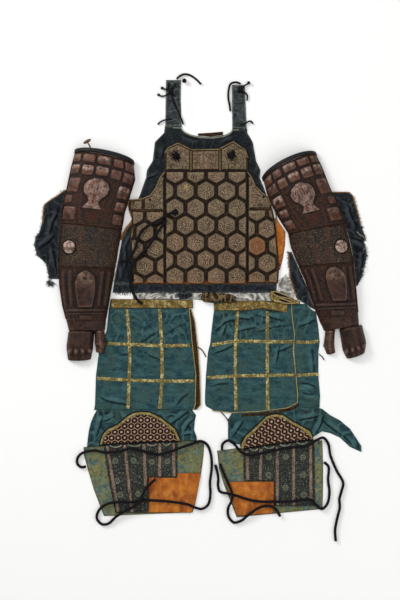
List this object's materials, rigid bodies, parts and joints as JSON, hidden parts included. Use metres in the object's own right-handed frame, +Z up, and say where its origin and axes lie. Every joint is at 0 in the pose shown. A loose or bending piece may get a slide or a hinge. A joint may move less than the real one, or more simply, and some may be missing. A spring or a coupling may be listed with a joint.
{
  "type": "lamellar armour",
  "caption": "Folding body armour laid out flat: plated cuirass, armoured sleeves with hand guards, thigh aprons and splinted shin guards with ties.",
  "frame": {"origin": "centre of the set's outline (its loose cords left out) on the surface that it lies on", "axes": "+X to the viewer's right, +Y from the shin guards towards the cuirass's neck, +Z up from the surface"},
  "size_m": [0.999, 1.4032, 0.0555],
  "materials": {
    "indigo_cloth": "matt worn hemp",
    "teal_cloth": "matt faded silk",
    "white_cloth": "matt cotton",
    "plated_brocade": "worn figured silk over iron plates",
    "trim_brocade": "worn figured silk",
    "gold_brocade": "figured silk with metal thread",
    "knee_brocade": "figured silk with metal thread over plates",
    "shin_brocade": "mottled figured silk",
    "splint_mail": "russet splints and fine mail",
    "arm_mail": "fine russet mail",
    "orange_leather": "smoked deerskin",
    "russet_iron": "russet lacquered iron",
    "black_iron": "black lacquered iron",
    "black_cord": "braided silk cord"
  },
  "bodies": {
    "root": {"do_back": "indigo_cloth", "do_strap_left": "indigo_cloth", "do_strap_right": "indigo_cloth", "do_neck_plate": "russet_iron", "do_hem": "indigo_cloth", "do_front": "plated_brocade", "do_flank_left": "plated_brocade", "do_flank_right": "plated_brocade", "do_armpit_left": "plated_brocade", "do_armpit_right": "plated_brocade", "do_breast_left": "plated_brocade", "do_breast_centre": "plated_brocade", "do_breast_right": "plated_brocade", "do_knot_left": "black_cord", "do_knot_right": "black_cord", "do_lining_right": "orange_leather", "kote_left_cap": "black_iron", "kote_left_upper": "russet_iron", "kote_left_elbow": "arm_mail", "kote_left_forearm": "russet_iron", "kote_left_hand": "russet_iron", "kote_left_thumb": "russet_iron", "kote_right_cap": "black_iron", "kote_right_upper": "russet_iron", "kote_right_elbow": "arm_mail", "kote_right_forearm": "russet_iron", "kote_right_hand": "russet_iron", "kote_right_thumb": "russet_iron", "kote_left_cloth": "indigo_cloth", "kote_right_cloth_outer": "indigo_cloth", "kote_right_cloth_inner": "indigo_cloth", "haidate_left_body": "teal_cloth", "haidate_left_ribbons": "gold_brocade", "haidate_left_band": "gold_brocade", "haidate_right_body": "teal_cloth", "haidate_right_ribbons": "gold_brocade", "haidate_right_band": "gold_brocade", "haidate_left_side": "trim_brocade", "haidate_right_side": "teal_cloth", "haidate_left_lower": "teal_cloth", "haidate_right_lower": "teal_cloth", "haidate_waistband": "white_cloth", "haidate_right_band_fold": "gold_brocade", "haidate_belt_end": "trim_brocade", "suneate_left_cloth": "shin_brocade", "suneate_left_knee": "knee_brocade", "suneate_left_splints": "splint_mail", "suneate_left_leather": "orange_leather", "suneate_right_cloth": "shin_brocade", "suneate_right_knee": "knee_brocade", "suneate_right_splints": "splint_mail", "suneate_right_leather": "orange_leather", "do_cord_side_upper": "black_cord", "do_cord_side_lower": "black_cord", "do_cord_strap_left": "black_cord", "do_cord_strap_right": "black_cord", "suneate_left_cord": "black_cord", "suneate_right_cord_upper": "black_cord", "suneate_right_cord_lower": "black_cord", "suneate_right_cord_front": "black_cord"}
  },
  "joints": []
}
